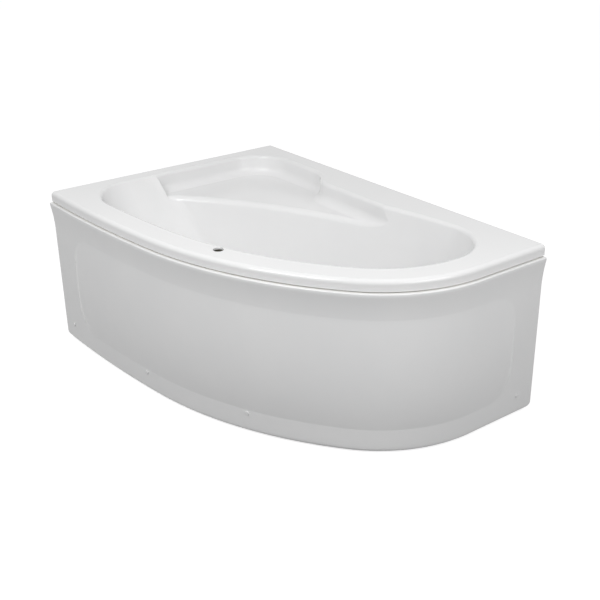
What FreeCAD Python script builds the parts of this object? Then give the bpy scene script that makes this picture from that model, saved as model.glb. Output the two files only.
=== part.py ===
import FreeCAD, Part
import math
import os
import re

import Sketcher
from FreeCAD import Placement, Rotation, Vector

doc = FreeCAD.newDocument("corner_bath")

# Driving sizes in millimetres, angles in degrees. The wall corner of the bath is the point (0, 0)
# of the plan: the long back edge runs along +X, the short end edge along -Y, the floor is z = 0.
SIZES = {
    # rim seen from above
    "length": 1500,
    "width": 1000,
    "height": 595,
    "shoulder_radius": 1344,
    "nose_radius": 479,
    "bow_sweep": 7.63,
    "shoulder_sweep": 32.06,
    "rim_drop": 36,
    "rim_round": 15,
    "skin": 6,
    # mouth of the basin
    "deck_front": 100,
    "deck_end": 62,
    "nose_back_radius": 192,
    "back_lean": 5,
    "back_radius": 1900,
    "back_corner_radius": 110,
    "front_corner_radius": 175,
    "mouth_round": 14,
    # floor of the basin
    "floor_level": 175,
    "floor_inset": 75,
    "floor_end": 360,
    "floor_nose_back_radius": 120,
    "floor_back_radius": 1850,
    "floor_back_corner_radius": 90,
    "floor_front_corner_radius": 120,
    "floor_round": 55,
    # moulded seat in the wall corner
    "seat_drop": 75,
    "seat_deck": 76,
    "seat_corner_radius": 150,
    "seat_wave_start": 400,
    "seat_wave_depth": 74,
    "seat_wave_radius": 130,
    "seat_end": 1000,
    "seat_front": 320,
    "seat_reach": 600,
    "seat_round": 30,
    "seat_edge_round": 22,
    # holes of the tub, placed round the centre of the shoulder arc
    "drain_reach": 1010,
    "drain_angle": 28,
    "drain_hole_radius": 26,
    "overflow_drop": 80,
    "overflow_hole_radius": 24,
    "tap_reach": 1274,
    "tap_angle": 19.1,
    "tap_hole_radius": 17.5,
    # timber bonded under the tub
    "board": 16,
    "batten": 18,
    "batten_width": 36,
    "batten_gap": 8,
    # steel frame
    "tube": 25,
    "bar_wall": 1.5,
    "post": 20,
    "plate": 3,
    "back_rail_step": 136.5,
    "front_rail_step": 103.5,
    "front_rail_gap": 190,
    "end_bar_x": 35,
    "middle_bar_step": 231.5,
    "nose_bar_gap": 60,
    "bar_back_gap": 20,
    "end_bar_gap": 45,
    "middle_bar_gap": 33.5,
    "nose_bar_step": 139.5,
    "post_inset": 15,
    "post_gap": 2.35,
    # steel hooks on the walls, the right one measured from the nose end
    "hook_left": 260,
    "hook_right": 380,
    "hook_end": 500,
    "hook_width": 30,
    "hook_steel": 3,
    # adjustable feet
    "foot_rod_radius": 6,
    "foot_rod_length": 175,
    "foot_pad_radius": 25,
    "foot_pad": 14,
    "foot_socket": 8,
    "nut_across": 19,
    "nut": 10,
    "thread_play": 0.05,
    # front panel
    "lip": 10,
    "panel_skin": 4,
    "panel_gap": 4,
    "upstand_inset": 8,
    "upstand": 26,
    "flare_depth": 100,
    "panel_foot": 4,
    "panel_foot_round": 14,
    "panel_clip": 22,
    "bulge_low": 86,
    "bulge_high": 465,
    "bulge_proud": 8,
    "bulge_start": 145,
    "bulge_end": 111,
    # panel screws
    "cap_level": 73,
    "cap_radius": 7,
    "cap": 3,
    "screw_radius": 2,
    "bow_cap_x": 71,
    "middle_cap_angle": 6.925,
    "shoulder_cap_angle": 24.95,
    "nose_cap_y": 72,
    # waste, trap and overflow, seen in the upright plane from the drain out through the overflow
    "plug_stem_radius": 3,
    "trap_radius": 19,
    "trap_wall": 3,
    "trap_leg_gap": 6,
    "outlet_radius": 20,
    "outlet_reach": 300,
    "spout": 30,
    "spout_radius": 15,
    "pipe_bend_radius": 60,
    "wall_fit": 0.6,
    "cable_radius": 2.5,
    "cable_side": 25,
}

# Sizes that follow from the driving ones.
DERIVED = {
    "turned": "(bow_sweep + shoulder_sweep)",
    "bow_radius": "((length - shoulder_radius * (sin(turned) - sin(bow_sweep))"
                  " - nose_radius * (1 - sin(turned))) / sin(bow_sweep))",
    "straight_end": "(width - bow_radius * (1 - cos(bow_sweep))"
                    " - shoulder_radius * (cos(bow_sweep) - cos(turned)) - nose_radius * cos(turned))",
    "shoulder_x": "(length - nose_radius - (shoulder_radius - nose_radius) * sin(turned))",
    "shoulder_y": "((shoulder_radius - nose_radius) * cos(turned) - straight_end)",
    "seat_level": "(height - seat_drop)",
    "deck_under": "(height - skin)",
    "rim_bottom": "(height - rim_drop)",
    "drain_x": "(shoulder_x + drain_reach * sin(drain_angle))",
    "drain_y": "(shoulder_y - drain_reach * cos(drain_angle))",
    "wall_lean": "(atan(floor_inset / (height - floor_level)) / 1 deg)",
    "overflow_level": "(height - overflow_drop)",
    "overflow_reach": "(shoulder_radius - deck_front - overflow_drop * tan(wall_lean) - drain_reach)",
    "board_bottom": "(floor_level - skin - board)",
    "rail_bottom": "(board_bottom - tube)",
    "bar_bottom": "(rail_bottom - tube)",
    "back_rail_y": "(-drain_y - back_rail_step)",
    "front_rail_y": "(front_rail_step - drain_y)",
    "front_rail_end": "(length - front_rail_gap)",
    "middle_bar_x": "(shoulder_x + middle_bar_step)",
    "nose_bar_x": "(length - nose_bar_gap)",
    "end_bar_reach": "(width - end_bar_gap)",
    "middle_bar_reach": "(sqrt(shoulder_radius ^ 2 - middle_bar_step ^ 2) - shoulder_y - middle_bar_gap)",
    "nose_bar_reach": "(straight_end + nose_bar_step)",
    "ledge": "(rim_bottom - panel_gap)",
    "bow_cap_angle": "(asin(bow_cap_x / bow_radius) / 1 deg)",
    "trap_bend_radius": "(trap_radius + trap_leg_gap)",
    "wall_x": "(-(length + lip) / 2)",
    "wall_y": "((width + lip) / 2)",
}

sheet = doc.addObject("Spreadsheet::Sheet", "Size")
for row, (name, number) in enumerate(SIZES.items(), start=1):
    sheet.set(f"A{row}", name)
    sheet.set(f"B{row}", str(number))
    sheet.setAlias(f"B{row}", name)
doc.recompute()

nodes = []


def formula(text):
    """Expression for a size written with the names of the sheet and of DERIVED."""
    def expand(match):
        word = match.group()
        if word in DERIVED:
            return formula(DERIVED[word])
        return f"Size.{word}" if word in SIZES else word
    return re.sub(r"[a-z][a-z0-9_]*", expand, str(text))


def value(text):
    return float(sheet.evalExpression(formula(text)))


def bind(thing, **paths):
    for path, text in paths.items():
        thing.setExpression(path.replace("__", "."), formula(text))


def node(thing, label, x="0", y="0"):
    """Name a finished piece and set it at a point of the plan, in the bath's own frame."""
    thing.Label = label
    bind(thing, Placement__Base__x=f"wall_x + {x}", Placement__Base__y=f"wall_y + {y}")
    nodes.append(thing)
    return thing


def new_body(label, x="0", y="0"):
    return node(doc.addObject("PartDesign::Body", label), label, x, y)


def drain_body(label):
    """A body in the upright plane that runs from the drain (x = 0) out through the overflow."""
    body = new_body(label, "drain_x", "drain_y")
    bind(body, Placement__Rotation__Angle="drain_angle - 90")
    return body


def new_sketch(body, name, level="0", role="XY_Plane"):
    plane = next(part for part in body.Origin.OriginFeatures if part.Role == role)
    sketch = body.newObject("Sketcher::SketchObject", name)
    sketch.AttachmentSupport = (plane, [""])
    sketch.MapMode = "FlatFace"
    bind(sketch, AttachmentOffset__Base__z=level)
    return sketch


def constrain(sketch, kind, *where):
    sketch.addConstraint(Sketcher.Constraint(kind, *where))


def size(sketch, kind, *where):
    """Dimension a sketch: geometry numbers, then the formula of the size."""
    *where, text = where
    if text == "0":
        constrain(sketch, "PointOnObject", *where, -2 if kind == "DistanceX" else -1)
        return
    index = sketch.addConstraint(Sketcher.Constraint(kind, *where, value(text)))
    sketch.setExpression(f"Constraints[{index}]", formula(text))


def arc(centre, radius, start, end):
    """Arc turning left from the point at angle start to the point at angle end, in degrees."""
    circle = Part.Circle(Vector(centre[0], centre[1], 0), Vector(0, 0, 1), radius)
    return Part.ArcOfCircle(circle, math.radians(start), math.radians(end))


def bearing(origin, point):
    return math.degrees(math.atan2(point[1] - origin[1], point[0] - origin[0]))


def draw_outline(sketch, corners):
    """Closed outline: each corner is (x, y) or (x, y, radius of the arc that leaves it, + for left)."""
    points = [Vector(value(corner[0]), value(corner[1]), 0) for corner in corners]
    ends = []
    for index, corner in enumerate(corners):
        start, end = points[index], points[(index + 1) % len(points)]
        if len(corner) == 2:
            sketch.addGeometry(Part.LineSegment(start, end))
            ends.append((1, 2))
            continue
        radius = value(corner[2])
        chord = end - start
        depth = math.sqrt(radius ** 2 - (chord.Length / 2) ** 2)
        side = Vector(-chord.y, chord.x, 0).normalize() * math.copysign(depth, radius)
        centre = start + chord * 0.5 + side
        first, last = (start, end) if radius > 0 else (end, start)
        sweep = (bearing(centre, last) - bearing(centre, first)) % 360
        sketch.addGeometry(arc(centre, abs(radius), bearing(centre, first), bearing(centre, first) + sweep))
        ends.append((1, 2) if radius > 0 else (2, 1))
    for index, corner in enumerate(corners):
        after = (index + 1) % len(corners)
        constrain(sketch, "Coincident", index, ends[index][1], after, ends[after][0])
        size(sketch, "DistanceX", index, ends[index][0], corner[0])
        size(sketch, "DistanceY", index, ends[index][0], corner[1])
        if len(corner) == 3:
            size(sketch, "Radius", index, corner[2].lstrip("-"))
    return sketch


def draw_circle(sketch, x, y, radius):
    index = sketch.addGeometry(Part.Circle(Vector(value(x), value(y), 0), Vector(0, 0, 1), value(radius)))
    size(sketch, "DistanceX", index, 3, x)
    size(sketch, "DistanceY", index, 3, y)
    size(sketch, "Radius", index, radius)
    return sketch


def pad(body, sketch, length, name):
    feature = body.newObject("PartDesign::Pad", name)
    feature.Profile = sketch
    bind(feature, Length=length)
    return feature


def pocket(body, sketch, depth, name, up=False, both_ways=False):
    feature = body.newObject("PartDesign::Pocket", name)
    feature.Profile = sketch
    feature.Reversed = up
    feature.Midplane = both_ways
    bind(feature, Length=depth)
    return feature


def loft(body, kind, sketches, name):
    feature = body.newObject(f"PartDesign::{kind}", name)
    feature.Profile = sketches[0]
    feature.Sections = sketches[1:]
    feature.Ruled = True
    return feature


def pipe(body, kind, profile, path, name):
    feature = body.newObject(f"PartDesign::{kind}", name)
    feature.Profile = profile
    feature.Spine = (path, [f"Edge{number + 1}" for number in range(len(path.Geometry))])
    return feature


def revolve(body, sketch, name="turned"):
    feature = body.newObject("PartDesign::Revolution", name)
    feature.Profile = sketch
    feature.ReferenceAxis = (sketch, ["V_Axis"])
    feature.Angle = 360
    return feature


def fillet(body, name, radius, test):
    """Round the edges of the body's last feature that pass the test."""
    doc.recompute()
    base = body.Tip
    chosen = [f"Edge{number}" for number, edge in enumerate(base.Shape.Edges, start=1) if test(edge)]
    feature = body.newObject("PartDesign::Fillet", name)
    feature.Base = (base, chosen)
    bind(feature, Radius=radius)
    doc.recompute()
    return feature


def at_level(edge, text):
    """True for an edge that lies in the horizontal plane at the height given."""
    box, level = edge.BoundBox, value(text)
    return abs(box.ZMin - level) < 0.02 and abs(box.ZMax - level) < 0.02


def middle(edge):
    return edge.valueAt((edge.FirstParameter + edge.LastParameter) / 2)


def sculpted(edge):
    return edge.Curve.TypeId == "Part::GeomBSplineCurve"


def front_centres():
    """Centres of the bow, shoulder and nose arcs of the rim."""
    return ((0, value("bow_radius - width")), (value("shoulder_x"), value("shoulder_y")),
            (value("length - nose_radius"), value("-straight_end")))


def draw_front(sketch, inset, start_x="0"):
    """The bowed front, shoulder and nose, drawn inset from the rim: three tangent arcs."""
    bow, turned = value("bow_sweep"), value("turned")
    names = ("bow_radius", "shoulder_radius", "nose_radius")
    radius = [value(f"{name} - ({inset})") for name in names]
    first = -90 + math.degrees(math.asin(value(start_x) / radius[0]))
    bounds = (first, bow - 90, turned - 90, 0)
    for index, centre in enumerate(front_centres()):
        sketch.addGeometry(arc(centre, radius[index], bounds[index], bounds[index + 1]))
    constrain(sketch, "Tangent", 0, 2, 1, 1)
    constrain(sketch, "Tangent", 1, 2, 2, 1)
    size(sketch, "DistanceX", 0, 3, "0")
    size(sketch, "DistanceY", 0, 3, "bow_radius - width")
    size(sketch, "DistanceX", 2, 3, "length - nose_radius")
    size(sketch, "DistanceY", 2, 3, "-straight_end")
    for index, name in enumerate(names):
        size(sketch, "Radius", index, f"{name} - ({inset})")


def rim_sketch(body, name, level, inset="0"):
    """Closed plan of the bath: the front arcs, the straight end and the two wall edges."""
    sketch = new_sketch(body, name, level)
    draw_front(sketch, inset, inset)
    right, gap = value(f"length - ({inset})"), value(inset)
    front = sketch.Geometry[0].StartPoint
    corners = [Vector(right, value("-straight_end"), 0), Vector(right, -gap, 0), Vector(gap, -gap, 0), front]
    for start, end in zip(corners, corners[1:]):
        sketch.addGeometry(Part.LineSegment(start, end))
    constrain(sketch, "Tangent", 2, 2, 3, 1)
    for first, second in ((3, 4), (4, 5), (5, 0)):
        constrain(sketch, "Coincident", first, 2, second, 1)
    for kind, index in (("Vertical", 3), ("Horizontal", 4), ("Vertical", 5)):
        constrain(sketch, kind, index)
    size(sketch, "DistanceX", 4, 2, inset)
    size(sketch, "DistanceY", 4, 2, "0" if inset == "0" else f"-({inset})")
    return sketch


def basin_sketch(body, name, level, inset, end, nose_back, back, back_corner, front_corner):
    """Closed plan of the basin at one level: eight tangent pieces, counter-clockwise from the front."""
    sketch = new_sketch(body, name, level)
    centre_bow, _, centre_nose = front_centres()
    bow_radius, left, lean = value(f"bow_radius - ({inset})"), value(end), 90 + value("back_lean")
    radius_nose, radius_back = value(nose_back), value(back)
    radius_rear, radius_front = value(back_corner), value(front_corner)
    direction = Vector(math.cos(math.radians(lean)), math.sin(math.radians(lean)), 0)
    centre_turn = Vector(value(f"length - ({inset})") - radius_nose, centre_nose[1], 0)
    centre_back = centre_turn + direction * (radius_nose - radius_back)
    reach = radius_back - radius_rear
    rise = math.sqrt(reach ** 2 - (left + radius_rear - centre_back.x) ** 2)
    centre_rear = Vector(left + radius_rear, centre_back.y + rise, 0)
    fall = math.sqrt((bow_radius - radius_front) ** 2 - (left + radius_front) ** 2)
    centre_corner = Vector(left + radius_front, centre_bow[1] - fall, 0)
    handover = bearing(centre_back, centre_rear)
    draw_front(sketch, inset, str(bow_radius * (left + radius_front) / (bow_radius - radius_front)))
    sketch.addGeometry(arc(centre_turn, radius_nose, 0, lean))
    sketch.addGeometry(arc(centre_back, radius_back, lean, handover))
    sketch.addGeometry(arc(centre_rear, radius_rear, handover, 180))
    sketch.addGeometry(Part.LineSegment(Vector(left, centre_rear.y, 0), Vector(left, centre_corner.y, 0)))
    sketch.addGeometry(arc(centre_corner, radius_front, 180, bearing(centre_bow, centre_corner) + 360))
    for index in range(2, 8):
        constrain(sketch, "Tangent", index, 2, (index + 1) % 8, 1)
    constrain(sketch, "Horizontal", 2, 3, 3, 3)
    constrain(sketch, "Vertical", 6)
    size(sketch, "DistanceX", 3, 2, 3, 3, f"({nose_back}) * sin(back_lean)")
    for index, radius in ((3, nose_back), (4, back), (5, back_corner), (7, front_corner)):
        size(sketch, "Radius", index, radius)
    size(sketch, "DistanceX", 6, 1, end)
    return sketch


def seat_sketch(body, name, level, grow="0"):
    """Plan of the seat recess: wall corner, straight back, S-shaped waist, closed inside the basin."""
    sketch = new_sketch(body, name, level)
    left, back = value(f"deck_end - ({grow})"), value(f"-(seat_deck - ({grow}))")
    corner, turn_out = value(f"seat_corner_radius + ({grow})"), value(f"seat_wave_radius + ({grow})")
    turn_in = value(f"seat_wave_radius - ({grow})")
    swing = math.degrees(math.acos(1 - value("seat_wave_depth / (2 * seat_wave_radius)")))
    start, waist = value("seat_wave_start"), back - value("seat_wave_depth")
    wave_end = start + (turn_out + turn_in) * math.sin(math.radians(swing))
    far, front, foot = value("seat_end"), value("-seat_front"), value(f"-(seat_reach + ({grow}))")
    sketch.addGeometry(Part.LineSegment(Vector(left, foot, 0), Vector(left, back - corner, 0)))
    sketch.addGeometry(arc((left + corner, back - corner), corner, 90, 180))
    sketch.addGeometry(Part.LineSegment(Vector(left + corner, back, 0), Vector(start, back, 0)))
    sketch.addGeometry(arc((start, back - turn_out), turn_out, 90 - swing, 90))
    sketch.addGeometry(arc((wave_end, waist + turn_in), turn_in, 270 - swing, 270))
    outline = [Vector(wave_end, waist, 0), Vector(far, waist, 0), Vector(far, front, 0), Vector(left, foot, 0)]
    for begin, end in zip(outline, outline[1:]):
        sketch.addGeometry(Part.LineSegment(begin, end))
    joins = ((0, 2, 1, 2), (1, 1, 2, 1), (2, 2, 3, 2), (3, 1, 4, 1), (4, 2, 5, 1))
    for first, first_end, second, second_end in joins:
        constrain(sketch, "Tangent", first, first_end, second, second_end)
    for first, second in ((5, 6), (6, 7), (7, 0)):
        constrain(sketch, "Coincident", first, 2, second, 1)
    for kind, index in (("Vertical", 0), ("Horizontal", 2), ("Horizontal", 5), ("Vertical", 6)):
        constrain(sketch, kind, index)
    size(sketch, "DistanceX", 0, 1, f"deck_end - ({grow})")
    size(sketch, "DistanceY", 0, 1, f"-(seat_reach + ({grow}))")
    size(sketch, "Radius", 1, f"seat_corner_radius + ({grow})")
    size(sketch, "DistanceY", 2, 1, f"-(seat_deck - ({grow}))")
    size(sketch, "DistanceX", 2, 2, "seat_wave_start")
    size(sketch, "Radius", 3, f"seat_wave_radius + ({grow})")
    size(sketch, "Radius", 4, f"seat_wave_radius - ({grow})")
    size(sketch, "DistanceY", 5, 2, f"-(seat_deck + seat_wave_depth - ({grow}))")
    size(sketch, "DistanceX", 5, 2, "seat_end")
    size(sketch, "DistanceY", 6, 2, "-seat_front")
    return sketch


def block(name, x, y, z, dx, dy, dz):
    box = doc.addObject("Part::Box", name)
    bind(box, Length=dx, Width=dy, Height=dz, Placement__Base__x=x, Placement__Base__y=y, Placement__Base__z=z)
    return box


def rod(name, x, y, z, radius, length):
    cylinder = doc.addObject("Part::Cylinder", name)
    bind(cylinder, Radius=radius, Height=length,
         Placement__Base__x=x, Placement__Base__y=y, Placement__Base__z=z)
    return cylinder


def cut(base, tool, name):
    result = doc.addObject("Part::Cut", name)
    result.Base = base
    result.Tool = tool
    return result


def group(pieces, name):
    result = doc.addObject("Part::MultiFuse", name)
    result.Shapes = pieces
    return result


def square_tube(name, low, high, along):
    """Hollow square tube between two corners, open at both ends along the axis named."""
    spans = [f"({b}) - ({a})" for a, b in zip(low, high)]
    outer = block(f"{name}_outer", *low, *spans)
    inner_low, inner_spans = [], []
    for axis, (start, span) in zip("XYZ", zip(low, spans)):
        inner_low.append(start if axis == along else f"({start}) + bar_wall")
        inner_spans.append(span if axis == along else f"({span}) - 2 * bar_wall")
    return cut(outer, block(f"{name}_inner", *inner_low, *inner_spans), name)


def ring(body, name, role, level, x, y, outer, inner, length):
    """Tube square to an origin plane, from its level along the plane's normal."""
    sketch = draw_circle(new_sketch(body, name, level, role), x, y, outer)
    draw_circle(sketch, x, y, inner)
    return pad(body, sketch, length, f"{name}_wall")


# One-piece acrylic tub: deck with a downturned rim, basin with a sloping back at the short
# wall, a moulded seat in the wall corner.
shell = new_body("bath_shell")
pad(shell, rim_sketch(shell, "rim_plan", "rim_bottom"), "rim_drop", "deck_block")
pocket(shell, rim_sketch(shell, "rim_inside", "rim_bottom", "skin"), "rim_drop - skin", "under_deck", up=True)
floor_sizes = ("deck_front + floor_inset", "floor_end", "floor_nose_back_radius", "floor_back_radius",
               "floor_back_corner_radius", "floor_front_corner_radius")
mouth_sizes = ("deck_front", "deck_end", "nose_back_radius", "back_radius", "back_corner_radius",
               "front_corner_radius")


def grown(sizes):
    """The same basin plan one skin larger all round: insets shrink, corner radii grow."""
    return [f"{name} {'-' if index < 2 else '+'} skin" for index, name in enumerate(sizes)]


outside = [basin_sketch(shell, "floor_outside", "floor_level - skin", *grown(floor_sizes)),
           basin_sketch(shell, "mouth_outside", "height", *grown(mouth_sizes))]
loft(shell, "AdditiveLoft", outside, "basin_outside")
pad(shell, seat_sketch(shell, "seat_outside_plan", "seat_level - skin", "skin"), "seat_drop", "seat_outside")
inside = [basin_sketch(shell, "floor_inside", "floor_level", *floor_sizes),
          basin_sketch(shell, "mouth_inside", "height", *mouth_sizes)]
loft(shell, "SubtractiveLoft", inside, "basin_inside")
pocket(shell, seat_sketch(shell, "seat_inside_plan", "seat_level"), "seat_drop", "seat_inside", up=True)


def seat_border(edge, level):
    """Edge between the seat and its walls, without the ridge towards the sloping back."""
    point = middle(edge)
    on_ridge = point.x > value("deck_end + 1") and point.y < value("-seat_reach + 2 * skin + seat_round")
    return at_level(edge, level) and not sculpted(edge) and not on_ridge


def outermost(edge):
    """Edge of the deck on the bath's free front or nose."""
    reach = value("height"), middle(edge)
    names = ("bow_radius", "shoulder_radius", "nose_radius")
    close = [abs(math.hypot(reach[1].x - x, reach[1].y - y) - value(name)) < 0.1
             for (x, y), name in zip(front_centres(), names)]
    return at_level(edge, "height") and (any(close) or abs(reach[1].x - value("length")) < 0.1)


def mouth_edge(edge):
    point, margin = middle(edge), value("deck_end / 2")
    inside_walls = point.x > margin and point.y < -margin and point.x < value("length - deck_front / 2")
    return at_level(edge, "height") and inside_walls and not outermost(edge) and not near_rim(point)


def near_rim(point):
    """True where a point of the deck lies less than half the front deck from the rim."""
    centre_bow, centre_shoulder, centre_nose = front_centres()
    reach = (math.hypot(point.x - centre_bow[0], point.y - centre_bow[1]) - value("bow_radius"),
             math.hypot(point.x - centre_shoulder[0], point.y - centre_shoulder[1]) - value("shoulder_radius"),
             math.hypot(point.x - centre_nose[0], point.y - centre_nose[1]) - value("nose_radius"))
    angle = bearing(centre_shoulder, (point.x, point.y)) + 90
    which = 0 if angle < value("bow_sweep") else 1 if angle < value("turned") else 2
    return reach[which] > value("-deck_front / 2") and point.y < value("-straight_end")


fillet(shell, "floor_soft", "floor_round", lambda edge: at_level(edge, "floor_level"))
fillet(shell, "under_soft", "floor_round + skin", lambda edge: at_level(edge, "floor_level - skin"))
fillet(shell, "seat_soft", "seat_round", lambda edge: seat_border(edge, "seat_level"))
fillet(shell, "seat_front_soft", "seat_edge_round",
       lambda edge: at_level(edge, "seat_level") and sculpted(edge))
fillet(shell, "seat_under_soft", "seat_round", lambda edge: seat_border(edge, "seat_level - skin"))
fillet(shell, "rim_soft", "rim_round", outermost)
fillet(shell, "mouth_soft", "mouth_round", mouth_edge)

drain_hole = draw_circle(new_sketch(shell, "drain_hole", "floor_level"), "drain_x", "drain_y",
                         "drain_hole_radius")
pocket(shell, drain_hole, "4 * skin", "drain_bore", both_ways=True)
tap_hole = draw_circle(new_sketch(shell, "tap_hole", "height"), "shoulder_x + tap_reach * sin(tap_angle)",
                       "shoulder_y - tap_reach * cos(tap_angle)", "tap_hole_radius")
pocket(shell, tap_hole, "4 * skin", "tap_bore", both_ways=True)
overflow_hole = new_sketch(shell, "overflow_hole")
outward = Rotation(Vector(0, 0, 1), value("drain_angle - 90")).multiply(
    Rotation(Vector(0, 1, 0), value("90 + wall_lean")))
overflow_hole.AttachmentOffset = Placement(Vector(), outward)
bind(overflow_hole, AttachmentOffset__Base__x="drain_x + overflow_reach * sin(drain_angle)",
     AttachmentOffset__Base__y="drain_y - overflow_reach * cos(drain_angle)",
     AttachmentOffset__Base__z="overflow_level")
draw_circle(overflow_hole, "0", "0", "overflow_hole_radius")
pocket(shell, overflow_hole, "8 * skin", "overflow_bore", both_ways=True)

# Board of chipboard glued under the floor of the basin, cut out round the drain.
board = new_body("base_board")
board_plan = draw_outline(new_sketch(board, "board_plan", "board_bottom"), [
    ("floor_end + 80", "-(width - 270)"), ("drain_x - 43", "drain_y - 123"),
    ("length - 290", "-(straight_end + 160)"), ("length - 290", "-(straight_end - 50)"),
    ("drain_x - 43", "-straight_end"), ("floor_end + 80", "-(straight_end + 200)")])
pad(board, board_plan, "board", "board_sheet")
drain_gap = draw_circle(new_sketch(board, "drain_gap", "board_bottom"), "drain_x", "drain_y",
                        "drain_hole_radius + 26")
pocket(board, drain_gap, "3 * board", "drain_cutout", both_ways=True)

# Timber strips and blocks bonded under the deck, where the posts push up and the hooks hold.
STRIP_Z = "deck_under - batten"
BACK_RUN = "length - batten_gap - upstand_inset - panel_skin - 1"
node(block("back_strip", "0", "0", STRIP_Z, BACK_RUN, "batten_width", "batten"),
     "batten_back", "batten_gap", "-batten_gap - batten_width")
node(block("end_strip", "0", "0", STRIP_Z, "batten_width", "end_bar_reach - 2 * batten_gap - batten_width",
           "batten"), "batten_end", "batten_gap", "-end_bar_reach")
deck_blocks = [block("front_block", "middle_bar_x - 30", "-middle_bar_reach - 8", STRIP_Z, "60", "46",
                     "batten"),
               block("nose_block", "nose_bar_x - 18", "-nose_bar_reach + 5", STRIP_Z, "36", "40", "batten")]
node(group(deck_blocks, "deck_block_set"), "deck_blocks")

# Welded frame of square steel tube: two rails under the board, three crossbars under the rails.
HALF = "tube / 2"
FEET = {1: ("end_bar_x", "-200"), 2: ("end_bar_x", "-(end_bar_reach - 155)"),
        3: ("middle_bar_x", "-(middle_bar_reach - 75)"), 4: ("nose_bar_x", "-(nose_bar_reach - 200)"),
        5: ("front_rail_end - 20", "-front_rail_y")}
ON_RAIL = (5,)


def carrier_bottom(number):
    """Underside of the tube that the foot's rod passes through."""
    return "rail_bottom" if number in ON_RAIL else "bar_bottom"


def rod_holes(numbers, name):
    radius = "foot_rod_radius + 0.5"
    return group([rod(f"{name}_{number}", *FEET[number], f"{carrier_bottom(number)} - 5", radius, "tube + 10")
                  for number in numbers], name)


rails = [square_tube(f"{name}_rail", (f"end_bar_x - {HALF}", f"-({y}) - {HALF}", "rail_bottom"),
                     (end, f"-({y}) + {HALF}", "board_bottom"), "X")
         for name, y, end in (("back", "back_rail_y", f"nose_bar_x + {HALF}"),
                              ("front", "front_rail_y", "front_rail_end"))]
rail_bore = rod("front_rail_bore", *FEET[5], "rail_bottom - 5", "foot_rod_radius + 0.5", "tube + 10")
node(group([rails[0], cut(rails[1], rail_bore, "front_rail_drilled")], "rail_set"), "frame_rails")
crossbars = [square_tube(f"{name}_bar", (f"{x} - {HALF}", f"-({reach})", "bar_bottom"),
                         (f"{x} + {HALF}", "-bar_back_gap", "rail_bottom"), "Y")
             for name, x, reach in (("end", "end_bar_x", "end_bar_reach"),
                                    ("middle", "middle_bar_x", "middle_bar_reach"),
                                    ("nose", "nose_bar_x", "nose_bar_reach"))]
node(cut(group(crossbars, "crossbar_set"), rod_holes((1, 2, 3, 4), "bar_bores"), "crossbars_drilled"),
     "frame_crossbars")

# Posts that carry the deck, each with a plate and a screw into the timber above it.
BACK_POST = "-(bar_back_gap + post / 2)"
POSTS = {"wall_corner": ("end_bar_x", BACK_POST), "end_front": ("end_bar_x", "-end_bar_reach + post_inset"),
         "middle_back": ("middle_bar_x", BACK_POST),
         "middle_front": ("middle_bar_x", "-middle_bar_reach + post_inset"),
         "nose_back": ("nose_bar_x", BACK_POST),
         "nose_front": ("nose_bar_x", "-back_rail_y - tube / 2 - post / 2 - post_gap")}
PLATE_Z = "deck_under - batten - plate"
posts = [square_tube(f"{name}_post", (f"{x} - post / 2", f"{y} - post / 2", "rail_bottom"),
                     (f"{x} + post / 2", f"{y} + post / 2", PLATE_Z), "Z") for name, (x, y) in POSTS.items()]
node(group(posts, "post_set"), "deck_posts")
plates = [block(f"{name}_plate", f"{x} - 18", f"{y} - 16", PLATE_Z, "36", "32", "plate")
          for name, (x, y) in POSTS.items()]
screw_places = [(f"{x} - 14" if name == "end_front" else f"{x} + 14", y) for name, (x, y) in POSTS.items()]
plate_bores = group([rod(f"plate_bore_{number}", x, y, f"{PLATE_Z} - 1", "screw_radius", "plate + 2")
                     for number, (x, y) in enumerate(screw_places)], "plate_bores")
node(cut(group(plates, "plate_set"), plate_bores, "plates_drilled"), "post_plates")
plate_screws = []
for number, (x, y) in enumerate(screw_places):
    shank = rod(f"plate_shank_{number}", x, y, f"{PLATE_Z}", "screw_radius", "plate + 14")
    head = rod(f"plate_head_{number}", x, y, f"{PLATE_Z} - 2.5", "3.5", "2.5")
    plate_screws.append(group([shank, head], f"plate_screw_{number}"))
node(group(plate_screws, "plate_screw_set"), "plate_screws")

# Long screws that hold the rails to the board.
BOARD_SCREWS = (("drain_x - 183", "-back_rail_y"), ("length - 360", "-back_rail_y"),
                ("floor_end + 240", "-front_rail_y"), ("drain_x - 63", "-front_rail_y"))
board_screws = []
for number, (x, y) in enumerate(BOARD_SCREWS):
    shank = rod(f"board_shank_{number}", x, y, "rail_bottom", "screw_radius + 0.5", "tube + board - 3")
    head = rod(f"board_head_{number}", x, y, "rail_bottom - 3", "5", "3")
    board_screws.append(group([shank, head], f"board_screw_{number}"))
node(group(board_screws, "board_screw_set"), "board_screws")

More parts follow.
